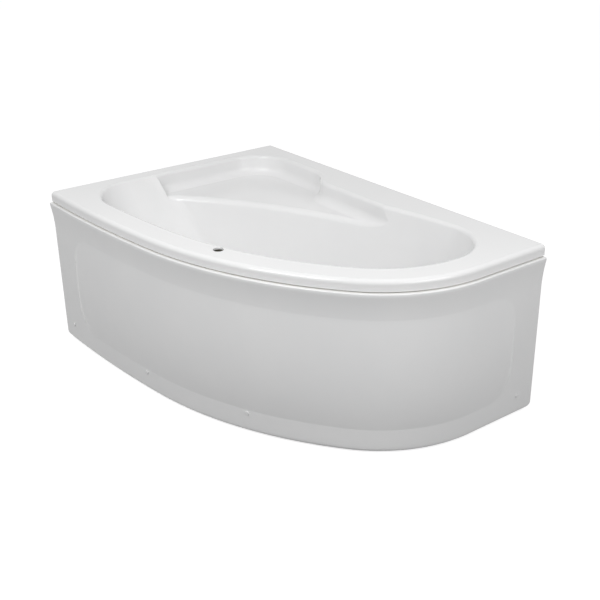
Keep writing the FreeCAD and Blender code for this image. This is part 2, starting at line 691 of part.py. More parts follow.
# Adjustable feet: a threaded rod through the tube, held by two nuts, on a plastic pad.
nuts = []
for number, (x, y) in FEET.items():
    for side, z in (("low", f"{carrier_bottom(number)} - nut"), ("high", f"{carrier_bottom(number)} + tube")):
        hexagon = doc.addObject("Part::Prism", f"nut_{number}_{side}")
        hexagon.Polygon = 6
        bind(hexagon, Circumradius="nut_across / sqrt(3)", Height="nut",
             Placement__Base__x=x, Placement__Base__y=y, Placement__Base__z=z)
        bore = rod(f"nut_bore_{number}_{side}", x, y, f"{z} - 1", "foot_rod_radius + thread_play", "nut + 2")
        nuts.append(cut(hexagon, bore, f"nut_drilled_{number}_{side}"))
node(group(nuts, "nut_set"), "foot_nuts")
for number, (x, y) in FEET.items():
    pad_body = new_body(f"foot_pad_{number}", f"({x})", f"({y})")
    revolve(pad_body, draw_outline(new_sketch(pad_body, f"pad_half_{number}", role="XZ_Plane"), [
        ("0", "0"), ("foot_pad_radius", "0"), ("foot_pad_radius", "5"), ("foot_rod_radius + 7", "foot_pad"),
        ("foot_rod_radius", "foot_pad"), ("foot_rod_radius", "foot_pad - foot_socket"),
        ("0", "foot_pad - foot_socket")]), f"pad_turned_{number}")
    node(rod(f"rod_{number}", "0", "0", "foot_pad - foot_socket", "foot_rod_radius", "foot_rod_length"),
         f"foot_rod_{number}", f"({x})", f"({y})")

# Steel hooks screwed to the two walls; the rim's skirt rests in them.
hooks = []
for name, at, on_back_wall in (("back_left", "hook_left", True), ("back_right", "length - hook_right", True),
                               ("end", "hook_end", False)):
    strips = [("0", "hook_steel", "rim_bottom - 60", "60"),
              ("0", "skin + 0.5 + hook_steel", "rim_bottom - hook_steel", "hook_steel"),
              ("skin + 0.5", "hook_steel", "rim_bottom", "10")]
    pieces = []
    for index, (depth, thick, z, tall) in enumerate(strips):
        side = f"({at}) - hook_width / 2"
        box = (f"hook_{name}_{index}", side, f"-({depth}) - ({thick})", z, "hook_width", thick, tall)
        if not on_back_wall:
            side = f"-({at}) - hook_width / 2"
            box = (f"hook_{name}_{index}", depth, side, z, thick, "hook_width", tall)
        pieces.append(block(*box))
    bore = doc.addObject("Part::Cylinder", f"hook_bore_{name}")
    bore.Placement = Placement(Vector(), Rotation(Vector(1, 0, 0), 90) if on_back_wall
                               else Rotation(Vector(0, 1, 0), 90))
    bind(bore, Radius="3.25", Height="10", Placement__Base__z="rim_bottom - 42",
         Placement__Base__x=at if on_back_wall else "-2", Placement__Base__y="2" if on_back_wall else f"-({at})")
    hooks.append(cut(group(pieces, f"hook_strip_{name}"), bore, f"hook_{name}"))
node(group(hooks, "hook_set"), "wall_hooks")

# Front panel, thermoformed: an upstand behind the skirt, a ledge with a proud lip, a hollow flare,
# an upright wall with one long pillow, and an edge turned in at the floor.
panel = new_body("front_panel")
FACE = "-width"


def panel_path(name, start_x="0", end_gap="0"):
    """The rim's own outline, from the short wall round to the long wall."""
    sketch = new_sketch(panel, name)
    draw_front(sketch, "0", start_x)
    sketch.addGeometry(Part.LineSegment(Vector(value("length"), value("-straight_end"), 0),
                                        Vector(value("length"), value(f"-({end_gap})"), 0)))
    constrain(sketch, "Tangent", 2, 2, 3, 1)
    constrain(sketch, "Vertical", 3)
    size(sketch, "DistanceX", 0, 1, start_x)
    size(sketch, "DistanceY", 3, 2, "0" if end_gap == "0" else f"-({end_gap})")
    return sketch


FLARE_TOP = "ledge - lip + 1"
FLARE_END = "ledge - lip + 1 - flare_depth"
FLARE_RADIUS = "((flare_depth ^ 2 + lip ^ 2) / (2 * lip))"
INNER_FLARE = f"({FLARE_RADIUS} + panel_skin)"
INNER_LIP = f"({FLARE_RADIUS} - sqrt({INNER_FLARE} ^ 2 - flare_depth ^ 2))"
panel_profile = draw_outline(new_sketch(panel, "panel_profile", role="YZ_Plane"), [
    (f"{FACE} + upstand_inset", "ledge + upstand"),
    (f"{FACE} + upstand_inset", "ledge"),
    (f"{FACE} - lip + 3", "ledge", "3"),
    (f"{FACE} - lip", "ledge - 3"),
    (f"{FACE} - lip", FLARE_TOP, f"-{FLARE_RADIUS}"),
    (FACE, FLARE_END),
    (FACE, "panel_foot + panel_foot_round", "panel_foot_round"),
    (f"{FACE} + panel_foot_round", "panel_foot"),
    (f"{FACE} + panel_foot_round", "panel_foot + panel_skin", "-(panel_foot_round - panel_skin)"),
    (f"{FACE} + panel_skin", "panel_foot + panel_foot_round"),
    (f"{FACE} + panel_skin", FLARE_END, INNER_FLARE),
    (f"{FACE} - {INNER_LIP}", FLARE_TOP),
    (f"{FACE} - {INNER_LIP}", "ledge - panel_skin"),
    (f"{FACE} + upstand_inset + panel_skin", "ledge - panel_skin"),
    (f"{FACE} + upstand_inset + panel_skin", "ledge + upstand")])
pipe(panel, "AdditivePipe", panel_profile, panel_path("panel_run"), "panel_wall")
BULGE_RADIUS = "((bulge_high - bulge_low) ^ 2 / (8 * bulge_proud) + bulge_proud / 2)"
BULGE_FACE = "(bow_radius - width - sqrt(bow_radius ^ 2 - bulge_start ^ 2))"


def pillow(kind, name, sunk, shorter, root="2"):
    """Crowned strip swept along the front: sunk from the crown, rooted behind the wall's face."""
    radius = f"({BULGE_RADIUS} - {sunk})"
    reach = f"sqrt({radius} ^ 2 - ({BULGE_RADIUS} - bulge_proud - {sunk} - {root}) ^ 2)"
    centre = "(bulge_low + bulge_high) / 2"
    sketch = draw_outline(new_sketch(panel, f"{name}_profile", "bulge_start", "YZ_Plane"), [
        (f"{BULGE_FACE} + {sunk} + {root}", f"{centre} + {reach}", radius),
        (f"{BULGE_FACE} + {sunk} + {root}", f"{centre} - {reach}")])
    path = panel_path(f"{name}_run", f"bulge_start + {shorter}", f"bulge_end + {shorter}")
    return pipe(panel, kind, sketch, path, name)


pillow("AdditivePipe", "pillow", "0", "0")
pillow("SubtractivePipe", "pillow_hollow", "panel_skin", "panel_skin")

# The upstand stops short of the rim's own ends at the two walls.
end_notch = draw_outline(new_sketch(panel, "end_notch", "width", "XZ_Plane"), [
    ("-1", "ledge + 1"), ("batten_gap + 1", "ledge + 1"), ("batten_gap + 1", "height"), ("-1", "height")])
pocket(panel, end_notch, "160", "end_gap", both_ways=True)
nose_notch = draw_outline(new_sketch(panel, "nose_notch", "length", "YZ_Plane"), [
    ("-(batten_gap + 1)", "ledge + 1"), ("1", "ledge + 1"), ("1", "height"), ("-(batten_gap + 1)", "height")])
pocket(panel, nose_notch, "160", "nose_gap", both_ways=True)

# The two lower end corners of the panel are cut off at 45 degrees.
end_clip = draw_outline(new_sketch(panel, "end_clip", "width", "XZ_Plane"), [
    ("0", "0"), ("panel_clip", "0"), ("0", "panel_clip")])
pocket(panel, end_clip, "160", "end_corner", both_ways=True)
nose_clip = draw_outline(new_sketch(panel, "nose_clip", "length", "YZ_Plane"), [
    ("0", "0"), ("0", "panel_clip"), ("-panel_clip", "0")])
pocket(panel, nose_clip, "160", "nose_corner", both_ways=True)

# Places on the front, as formulas: a point of the rim's outline and the turn of its outward side.
SPOTS = {
    "bow": ("bow_radius * sin(bow_cap_angle)", "bow_radius * (1 - cos(bow_cap_angle)) - width",
            "bow_cap_angle"),
    "middle": ("bow_radius * sin(middle_cap_angle)", "bow_radius * (1 - cos(middle_cap_angle)) - width",
               "middle_cap_angle"),
    "shoulder": ("shoulder_x + shoulder_radius * sin(shoulder_cap_angle)",
                 "shoulder_y - shoulder_radius * cos(shoulder_cap_angle)", "shoulder_cap_angle"),
    "nose": ("length", "-nose_cap_y", "90"),
    "clip_bow": ("bow_radius * sin(3.5)", "bow_radius * (1 - cos(3.5)) - width", "3.5"),
    "clip_middle": ("shoulder_x + shoulder_radius * sin(15)", "shoulder_y - shoulder_radius * cos(15)", "15"),
    "clip_shoulder": ("shoulder_x + shoulder_radius * sin(29)", "shoulder_y - shoulder_radius * cos(29)", "29"),
    "clip_nose": ("length", "-170", "90"),
}
CAP_SPOTS = ("bow", "middle", "shoulder", "nose")
CLIP_SPOTS = ("clip_bow", "clip_middle", "clip_shoulder", "clip_nose")


def at_spot(thing, spot, outward, level, along="0", path="Placement"):
    """Stand a piece at a spot of the front: its X along the front, Y up and Z outward."""
    x, y, turn = SPOTS[spot]
    rotation = Rotation(Vector(0, 0, 1), value(turn)).multiply(Rotation(Vector(1, 0, 0), 90))
    setattr(thing, path, Placement(Vector(), rotation))
    across = f"{x} + ({outward}) * sin({turn}) + ({along}) * cos({turn})"
    front = f"{y} - ({outward}) * cos({turn}) + ({along}) * sin({turn})"
    thing.setExpression(f"{path}.Base.x", formula(across))
    thing.setExpression(f"{path}.Base.y", formula(front))
    thing.setExpression(f"{path}.Base.z", formula(level))
    return thing


def spot_rod(name, spot, outward, radius, length, level="cap_level"):
    return at_spot(rod(name, "0", "0", "0", radius, length), spot, outward, level)


def spot_block(name, spot, outward, level, along, wide, tall, deep):
    return at_spot(block(name, "0", "0", "0", wide, tall, deep), spot, outward, level, along)


for spot in CAP_SPOTS:
    screw_hole = new_sketch(panel, f"{spot}_hole")
    at_spot(screw_hole, spot, "0", "cap_level", path="AttachmentOffset")
    draw_circle(screw_hole, "0", "0", "screw_radius + 0.2")
    pocket(panel, screw_hole, "20", f"{spot}_bore", both_ways=True)

# Steel arms from the frame to the foot of the panel, one at each screw.
ARMS = {
    "bow": ("bar_bottom - plate", "end_bar_gap + 11", "end_bar_x - bow_cap_x - 10",
            "bow_cap_x - end_bar_x + 26"),
    "middle": ("rail_bottom - plate", "(width - bow_radius * (1 - cos(middle_cap_angle)) - front_rail_y)"
                                      " / cos(middle_cap_angle) - 2", "-15", "30"),
    "shoulder": ("rail_bottom - plate",
                 "shoulder_radius - (shoulder_y + front_rail_y) / cos(shoulder_cap_angle) + 9", "-15", "30"),
    "nose": ("bar_bottom - plate", "nose_bar_gap + 6", "-15", "30")}
ARM_FACE = "(panel_skin + 0.3)"
arms = []
for spot, (level, reach, along, wide) in ARMS.items():
    upright = spot_block(f"{spot}_arm_upright", spot, f"-{ARM_FACE} - plate", "cap_level - 15", "-15",
                         "30", f"{level} - cap_level + 15", "plate")
    flat = spot_block(f"{spot}_arm_flat", spot, f"-{ARM_FACE} - ({reach})", level, along, wide, "plate", reach)
    bore = spot_rod(f"{spot}_arm_bore", spot, "-20", "screw_radius", "40")
    arms.append(cut(group([upright, flat], f"{spot}_arm_bent"), bore, f"{spot}_arm"))
node(group(arms, "arm_set"), "panel_arms")

# Steel angles under the deck that keep the panel's upstand against the skirt.
clips = []
CLIP_FACE = "(upstand_inset + panel_skin + 0.2)"
for spot in CLIP_SPOTS:
    upright = spot_block(f"{spot}_upright", spot, f"-{CLIP_FACE} - 2", "ledge + 6", "-15",
                         "30", "deck_under - ledge - 6", "2")
    flat = spot_block(f"{spot}_flat", spot, f"-{CLIP_FACE} - 22", "deck_under - 2", "-15", "30", "2", "22")
    clips.append(group([upright, flat], f"{spot}_bent"))
node(group(clips, "clip_set"), "panel_clips")

# Screws through the foot of the panel into the arms, and the caps that hide their heads.
panel_screws, caps = [], []
for spot in CAP_SPOTS:
    panel_screws.append(group([spot_rod(f"{spot}_shank", spot, "-14", "screw_radius", "14"),
                               spot_rod(f"{spot}_head", spot, "0", "cap_radius - 3", "1.5")], f"{spot}_screw"))
    caps.append(cut(spot_rod(f"{spot}_cap_disc", spot, "0", "cap_radius", "cap"),
                    spot_rod(f"{spot}_cap_room", spot, "-1", "cap_radius - 2.8", "2.7"), f"{spot}_cap"))
node(group(panel_screws, "panel_screw_set"), "panel_screws")
node(group(caps, "cap_set"), "screw_caps")

# Waste in the floor: chromed flange, guide for the plug's stem, seal and cup with its side inlet.
FLOOR = "floor_level"
CUP_TOP = "(floor_level - skin - 3)"
INLET = "(floor_level - 69)"


def half_section(body, name, outline):
    """Turned piece round the drain's upright axis, from pairs of radius and height."""
    return revolve(body, draw_outline(new_sketch(body, f"{name}_half", role="XZ_Plane"), outline), name)


flange = drain_body("drain_flange")
SLEEVE = "(drain_hole_radius - 0.5)"
SLEEVE_BORE = "(drain_hole_radius - 4)"
FLANGE = "drain_hole_radius + 9"
COLLAR = "drain_hole_radius + 12"
CUP = "drain_hole_radius + 4"
half_section(flange, "drain_ring", [
    (SLEEVE_BORE, f"{FLOOR} + 2.5"), (FLANGE, f"{FLOOR} + 1.5"), (FLANGE, FLOOR), (SLEEVE, FLOOR),
    (SLEEVE, f"{FLOOR} - 22"), (SLEEVE_BORE, f"{FLOOR} - 22")])
guide = drain_body("drain_guide")
spokes = draw_circle(new_sketch(guide, "guide_plan", f"{FLOOR} - 20"), "0", "0", SLEEVE_BORE)
draw_circle(spokes, "0", "0", "plug_stem_radius + thread_play")
for number in range(6):
    reach, turn = f"({SLEEVE_BORE} + plug_stem_radius) / 2", 60 * number + 10
    draw_circle(spokes, f"{reach} * cos({turn})", f"{reach} * sin({turn})", "5")
pad(guide, spokes, "3", "guide_disc")
gasket = drain_body("drain_gasket")
ring(gasket, "drain_seal", "XY_Plane", CUP_TOP, "0", "0", COLLAR, "drain_hole_radius", "3")
cup = drain_body("drain_cup")
half_section(cup, "cup_turned", [
    ("drain_hole_radius", CUP_TOP), (COLLAR, CUP_TOP), (COLLAR, f"{CUP_TOP} - 4"), (CUP, f"{CUP_TOP} - 4"),
    (CUP, f"{INLET} - 14"), ("trap_radius", f"{INLET} - 14"), ("trap_radius", f"{INLET} - 40"),
    ("trap_radius - trap_wall", f"{INLET} - 40"), ("trap_radius - trap_wall", f"{INLET} - 10"),
    ("drain_hole_radius", f"{INLET} - 10")])
INLET_END = "(drain_hole_radius + 32)"
CABLE_FOOT = "(drain_hole_radius + 10)"
BOSS_START = "sqrt((drain_hole_radius + 3) ^ 2 - cable_side ^ 2)"
inlet_start = new_sketch(cup, "inlet_plan", "drain_hole_radius + 1", "YZ_Plane")
pad(cup, draw_circle(inlet_start, "0", INLET, "spout_radius"), "31", "inlet")
boss_plan = draw_circle(new_sketch(cup, "boss_plan", BOSS_START, "YZ_Plane"), "cable_side", f"{INLET} + 12",
                        "5")
pad(cup, boss_plan, f"{CABLE_FOOT} - {BOSS_START}", "boss")
inlet_middle = new_sketch(cup, "inlet_hole", "drain_hole_radius + 15", "YZ_Plane")
pocket(cup, draw_circle(inlet_middle, "0", INLET, "spout_radius - trap_wall"), "40", "inlet_bore",
       both_ways=True)

# Pop-up plug on its stem, with a rubber seal under the dome.
plug = drain_body("pop_up_plug")
half_section(plug, "plug_turned", [
    ("0", f"{FLOOR} + 5"), (f"{SLEEVE_BORE} - 10", f"{FLOOR} + 4.5"),
    (f"{SLEEVE_BORE} - 1.5", f"{FLOOR} + 2.5"), (f"{SLEEVE_BORE} - 1.5", f"{FLOOR} + 0.5"),
    ("plug_stem_radius", f"{FLOOR} + 0.5"), ("plug_stem_radius", f"{FLOOR} - 45"), ("0", f"{FLOOR} - 45")])
seal = drain_body("plug_seal")
ring(seal, "seal_ring", "XY_Plane", f"{FLOOR} - 2", "0", "0", f"{SLEEVE_BORE} - 1", "plug_stem_radius", "2.5")

# Trap: a U-bend of plastic tube under the cup, two slip nuts and the outlet pipe towards the corner.
TRAP_TOP = "(floor_level - 109)"
TRAP_LOW = "(floor_level - 121)"
TRAP_OUT = "(floor_level - 95)"
NUT_BORE = "trap_radius + 0.2"
trap = drain_body("trap_bend")


def trap_route(name):
    """Down from the cup, round under, up again and off level towards the wall corner."""
    route = new_sketch(trap, name, role="XZ_Plane")
    top, low, out, radius = (value(text) for text in (TRAP_TOP, TRAP_LOW, TRAP_OUT, "trap_bend_radius"))
    route.addGeometry(Part.LineSegment(Vector(0, top, 0), Vector(0, low, 0)))
    route.addGeometry(arc((-radius, low), radius, -180, 0))
    route.addGeometry(Part.LineSegment(Vector(-2 * radius, low, 0), Vector(-2 * radius, out - radius, 0)))
    route.addGeometry(arc((-3 * radius, out - radius), radius, 0, 90))
    route.addGeometry(Part.LineSegment(Vector(-3 * radius, out, 0), Vector(-4 * radius, out, 0)))
    for first, first_end, second, second_end in ((0, 2, 1, 2), (1, 1, 2, 1), (2, 2, 3, 1), (3, 2, 4, 1)):
        constrain(route, "Tangent", first, first_end, second, second_end)
    for kind, index in (("Vertical", 0), ("Vertical", 2), ("Horizontal", 4)):
        constrain(route, kind, index)
    size(route, "DistanceX", 0, 1, "0")
    size(route, "DistanceY", 0, 1, TRAP_TOP)
    size(route, "DistanceY", 0, 2, TRAP_LOW)
    size(route, "Radius", 1, "trap_bend_radius")
    size(route, "Radius", 3, "trap_bend_radius")
    size(route, "DistanceY", 4, 2, TRAP_OUT)
    size(route, "DistanceX", 4, 2, "-4 * trap_bend_radius")
    return route


for kind, name, radius in (("AdditivePipe", "trap_tube", "trap_radius"),
                           ("SubtractivePipe", "trap_bore", "trap_radius - trap_wall")):
    section = draw_circle(new_sketch(trap, f"{name}_section", TRAP_TOP), "0", "0", radius)
    pipe(trap, kind, section, trap_route(f"{name}_route"), name)
inlet_nut = drain_body("trap_inlet_nut")
ring(inlet_nut, "inlet_nut_ring", "XY_Plane", f"{TRAP_TOP} - 10", "0", "0", "trap_radius + 7", NUT_BORE, "22")
outlet_nut = drain_body("trap_outlet_nut")
ring(outlet_nut, "outlet_nut_ring", "YZ_Plane", "-4 * trap_bend_radius - 12", "0", TRAP_OUT,
     "trap_radius + 7", NUT_BORE, "22")
outlet = drain_body("outlet_pipe")
SHOULDER = "(4 * trap_bend_radius + 14)"
ring(outlet, "outlet_tube", "YZ_Plane", "-outlet_reach", "0", TRAP_OUT, "outlet_radius",
     "trap_radius - trap_wall", f"outlet_reach - {SHOULDER}")
ring(outlet, "outlet_spigot", "YZ_Plane", f"-{SHOULDER}", "0", TRAP_OUT, "trap_radius",
     "trap_radius - trap_wall", f"{SHOULDER} - 4 * trap_bend_radius")


# Overflow in the front wall: everything is turned about the hole's axis, square to the leaning wall.
def axis_point(outward, down):
    """Point of the drain's upright plane, outward along the overflow's axis and down along the wall."""
    return (f"overflow_reach + ({outward}) * cos(wall_lean) - ({down}) * sin(wall_lean)",
            f"overflow_level - ({outward}) * sin(wall_lean) - ({down}) * cos(wall_lean)")


def overflow_section(body, name, outline):
    """Piece turned about the overflow's axis, from pairs of radius and distance out from the wall's face."""
    sketch = new_sketch(body, f"{name}_half", role="XZ_Plane")
    sketch.AttachmentOffset = Placement(Vector(), Rotation(Vector(0, 0, 1), value("-90 - wall_lean")))
    bind(sketch, AttachmentOffset__Base__x="overflow_reach", AttachmentOffset__Base__y="overflow_level")
    return revolve(body, draw_outline(sketch, outline), name)


def square_to_wall(body, name, outward, down, turn="180", side="0"):
    """Sketch across the fall of the wall, or with turn 90 across the overflow's axis."""
    sketch = new_sketch(body, name)
    sketch.AttachmentOffset = Placement(Vector(), Rotation(Vector(0, 1, 0), value(f"{turn} + wall_lean")))
    x, z = axis_point(outward, down)
    bind(sketch, AttachmentOffset__Base__x=x, AttachmentOffset__Base__y=side, AttachmentOffset__Base__z=z)
    return sketch


BACK = "(skin + wall_fit + 3)"
THROAT = "(overflow_hole_radius - 0.5)"
THROAT_BORE = "overflow_hole_radius - 4"
THROAT_RIM = "overflow_hole_radius + 8"
ELBOW_BORE = "overflow_hole_radius + 2"
ELBOW = "overflow_hole_radius + 6"
KNOB = "overflow_hole_radius + 10"
SPOUT_TOP = "(overflow_hole_radius + 3)"
SPOUT_END = "(overflow_hole_radius + 30)"
CABLE_HEAD = "(overflow_hole_radius + 6)"
CABLE_TOP = "sqrt((overflow_hole_radius + 4) ^ 2 - cable_side ^ 2)"
throat = drain_body("overflow_ring")
overflow_section(throat, "throat_turned", [
    (THROAT_BORE, "-3 - wall_fit"), (THROAT_RIM, "-3 - wall_fit"), (THROAT_RIM, "-wall_fit"),
    (THROAT, "-wall_fit"), (THROAT, "16"), (THROAT_BORE, "16")])
overflow_seal = drain_body("overflow_gasket")
overflow_section(overflow_seal, "seal_turned", [
    (ELBOW_BORE, "skin + wall_fit"), (KNOB, "skin + wall_fit"), (KNOB, BACK), (ELBOW_BORE, BACK)])
knob = drain_body("overflow_knob")
overflow_section(knob, "knob_turned", [
    ("0", "-20"), (f"{KNOB} - 7", "-20"), (KNOB, "-16"), (KNOB, "-6"), (f"{KNOB} - 3", "-6"),
    (f"{KNOB} - 3", "-14"), (f"{KNOB} - 8", "-17"), ("4", "-17"), ("4", "spout + 19"), ("0", "spout + 19")])
GRIP = f"({KNOB} - 9)"
grip_plan = draw_outline(square_to_wall(knob, "grip_plan", "-19", "0", "90"), [
    (f"-{GRIP}", "-5"), (GRIP, "-5"), (GRIP, "5"), (f"-{GRIP}", "5")])
pad(knob, grip_plan, "7", "grip").Reversed = True
elbow = drain_body("overflow_elbow")
overflow_section(elbow, "elbow_turned", [
    (ELBOW_BORE, BACK), (KNOB, BACK), (KNOB, f"{BACK} + 4"), (ELBOW, f"{BACK} + 4"), (ELBOW, "spout + 17"),
    ("4 + thread_play", "spout + 17"), ("4 + thread_play", "spout + 13"), (ELBOW_BORE, "spout + 13")])
spout_plan = draw_circle(square_to_wall(elbow, "spout_plan", "spout", SPOUT_TOP), "0", "0", "spout_radius")
pad(elbow, spout_plan, f"{SPOUT_END} - {SPOUT_TOP}", "spout_wall")
cable_plan = square_to_wall(elbow, "cable_end_plan", "spout + 4", CABLE_TOP, side="cable_side")
pad(elbow, draw_circle(cable_plan, "0", "0", "5"), f"{CABLE_HEAD} - {CABLE_TOP}", "cable_end")
spout_middle = square_to_wall(elbow, "spout_hole", "spout", "overflow_hole_radius + 16")
pocket(elbow, draw_circle(spout_middle, "0", "0", "spout_radius - trap_wall"), "40", "spout_bore",
       both_ways=True)


def fall_route(body, name, outward, down, level, end):
    """Down along the wall, round a bend and level towards the waste cup."""
    route = new_sketch(body, name, role="XZ_Plane")
    lean, radius = math.radians(value("wall_lean")), value("pipe_bend_radius")
    run_x, run_z = axis_point(outward, down)
    start = Vector(value(run_x), value(run_z), 0)
    foot = value(level) + radius
    drop = (start.y - foot) / math.cos(lean) + radius * math.tan(lean)
    turn = start - Vector(math.sin(lean), math.cos(lean), 0) * drop
    centre = Vector(turn.x - radius * math.cos(lean), foot, 0)
    route.addGeometry(Part.LineSegment(start, turn))
    route.addGeometry(arc(centre, radius, -90, -math.degrees(lean)))
    route.addGeometry(Part.LineSegment(centre - Vector(0, radius, 0), Vector(value(end), value(level), 0)))
    constrain(route, "Tangent", 0, 2, 1, 2)
    constrain(route, "Tangent", 1, 1, 2, 1)
    constrain(route, "Horizontal", 2)
    size(route, "DistanceX", 0, 1, run_x)
    size(route, "DistanceY", 0, 1, run_z)
    size(route, "Angle", 0, "(270 - wall_lean) * 1 deg")
    size(route, "Radius", 1, "pipe_bend_radius")
    size(route, "DistanceY", 2, 2, level)
    size(route, "DistanceX", 2, 2, end)
    return route


fall = drain_body("overflow_pipe")
for kind, name, radius in (("AdditivePipe", "fall_tube", "spout_radius"),
                           ("SubtractivePipe", "fall_bore", "spout_radius - trap_wall")):
    section = draw_circle(square_to_wall(fall, f"{name}_section", "spout", SPOUT_END), "0", "0", radius)
    pipe(fall, kind, section, fall_route(fall, f"{name}_route", "spout", SPOUT_END, INLET, INLET_END), name)
cable = drain_body("pull_cable")
cable_start = square_to_wall(cable, "cable_section", "spout + 4", CABLE_HEAD, side="cable_side")
section = draw_circle(cable_start, "0", "0", "cable_radius")
cable_route = fall_route(cable, "cable_route", "spout + 4", CABLE_HEAD, f"{INLET} + 12", CABLE_FOOT)
pipe(cable, "AdditivePipe", section, cable_route, "cable_sheath")
low_nut = drain_body("overflow_low_nut")
ring(low_nut, "low_nut_ring", "YZ_Plane", f"{INLET_END} - 10", "0", INLET, "spout_radius + 6", "spout_radius + 0.2",
     "20")
top_nut = drain_body("overflow_top_nut")
top_nut_start = square_to_wall(top_nut, "top_nut_plan", "spout", f"{SPOUT_END} - 10")
top_nut_plan = draw_circle(top_nut_start, "0", "0", "spout_radius + 6")
draw_circle(top_nut_plan, "0", "0", "spout_radius + 0.2")
pad(top_nut, top_nut_plan, "20", "top_nut_wall")

doc.recompute()
for thing in doc.Objects:
    if {"Invalid", "Error"} & set(thing.State):
        raise RuntimeError(f"{thing.Name} failed: {thing.State}")
for thing in nodes:
    if thing.Shape.isNull() or not thing.Shape.isValid():
        raise RuntimeError(f"{thing.Label} has no valid shape")
os.makedirs("parts", exist_ok=True)
for thing in nodes:
    thing.Shape.exportStep(f"parts/{thing.Label}.step")
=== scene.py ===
import math

import bpy
from mathutils import Matrix, Vector


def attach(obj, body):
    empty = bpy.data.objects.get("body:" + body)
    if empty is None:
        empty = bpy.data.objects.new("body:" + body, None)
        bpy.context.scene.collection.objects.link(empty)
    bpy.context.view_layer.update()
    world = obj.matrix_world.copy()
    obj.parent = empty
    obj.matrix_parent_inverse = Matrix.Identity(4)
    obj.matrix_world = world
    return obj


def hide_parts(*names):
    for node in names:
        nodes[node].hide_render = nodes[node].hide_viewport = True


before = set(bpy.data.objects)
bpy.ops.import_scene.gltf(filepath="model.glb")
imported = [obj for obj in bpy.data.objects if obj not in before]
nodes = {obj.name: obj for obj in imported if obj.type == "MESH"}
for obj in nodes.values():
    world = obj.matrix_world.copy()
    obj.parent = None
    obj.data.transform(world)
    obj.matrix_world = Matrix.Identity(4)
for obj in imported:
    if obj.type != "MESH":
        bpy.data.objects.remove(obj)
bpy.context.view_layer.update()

scene = bpy.context.scene
bpy.ops.object.select_all(action="DESELECT")

# Camera: a long lens above the rim, off the nose corner, looking across the bath to the walls.
CAMERA_LENS, CAMERA_SENSOR = 58.36, 36.0
CAMERA_PLACE = (2.5756, -1.8218, 1.7226)
CAMERA_TURNS = (53.40, 24.58, -0.824)
camera_data = bpy.data.cameras.new("camera")
camera_data.lens = CAMERA_LENS
camera_data.sensor_width = CAMERA_SENSOR
camera = bpy.data.objects.new("camera", camera_data)
scene.collection.objects.link(camera)
camera_azimuth, camera_elevation, camera_roll = map(math.radians, CAMERA_TURNS)
aim = Vector((-math.sin(camera_azimuth) * math.cos(camera_elevation),
              math.cos(camera_azimuth) * math.cos(camera_elevation), -math.sin(camera_elevation)))
camera.matrix_world = (Matrix.Translation(CAMERA_PLACE)
                       @ aim.to_track_quat("-Z", "Y").to_matrix().to_4x4()
                       @ Matrix.Rotation(camera_roll, 4, "Z"))
scene.camera = camera

# Front panel: one 4 mm sheet of white acrylic, drawn warm over a mould and trimmed. Its upstand
# hides behind the tub's skirt, its lip stands proud under the rim, and one long crowned pillow
# runs the whole front. It is screwed at the foot and held by clips under the deck.
# Lengths in millimetres, angles in degrees, levels above the floor.
MM = 0.001
WALL_CORNER = Vector((-0.755, 0.505, 0.0))
BOW_SWEEP, SHOULDER_SWEEP, NOSE_SWEEP = 7.63, 32.06, 50.31
SHOULDER_RADIUS, NOSE_RADIUS, LENGTH, WIDTH = 1344.0, 479.0, 1500.0, 1000.0
UPSTAND_TOP, UPSTAND_INSET = 581.0, 8.0
LEDGE, LIP, LIP_ROUND, FLARE_TOP, FLARE_END = 555.0, 10.0, 3.0, 546.0, 446.0
PILLOW_TOP, PILLOW_FOOT, PILLOW_PROUD, PILLOW_CORNER, PILLOW_END_ROUND = 465.0, 86.0, 9.9, 105.0, 40.0
PILLOW_START, PILLOW_STOP = 145.0, 111.0
PILLOW_SAG, CROWN_PEAK = 1.3, 0.4275
CREASE, END_FACING = 1.5, 60.0
PANEL_SKIN, FOOT_LEVEL, FOOT_ROUND, CORNER_CLIP, WALL_GAP = 4.0, 4.0, 14.0, 22.0, 9.0
SEAM, SHARP_EDGE = 0.01, 32.0


def plan(x, y, z=0.0):
    """Point of the shared frame from millimetres off the wall corner."""
    return WALL_CORNER + Vector((x, y, z)) * MM


def sin_of(degrees):
    return math.sin(math.radians(degrees))


def cos_of(degrees):
    return math.cos(math.radians(degrees))


turned = BOW_SWEEP + SHOULDER_SWEEP
bow_radius = (LENGTH - SHOULDER_RADIUS * (sin_of(turned) - sin_of(BOW_SWEEP))
              - NOSE_RADIUS * (1 - sin_of(turned))) / sin_of(BOW_SWEEP)
straight = (WIDTH - bow_radius * (1 - cos_of(BOW_SWEEP))
            - SHOULDER_RADIUS * (cos_of(BOW_SWEEP) - cos_of(turned)) - NOSE_RADIUS * cos_of(turned))
bow_centre = Vector((0.0, bow_radius - WIDTH))
nose_centre = Vector((LENGTH - NOSE_RADIUS, -straight))
shoulder_centre = (nose_centre
                   + (SHOULDER_RADIUS - NOSE_RADIUS) * Vector((-sin_of(turned), cos_of(turned))))


def flare(level):
    """How far the hollow flare under the lip stands out at a level."""
    radius = ((FLARE_TOP - FLARE_END) ** 2 + LIP ** 2) / (2 * LIP)
    return radius - math.sqrt(radius ** 2 - (level - FLARE_END) ** 2)


def ladder(first, last, steps):
    """Levels after the first one, down to the last in even steps."""
    return [first + (last - first) * step / steps for step in range(1, steps + 1)]


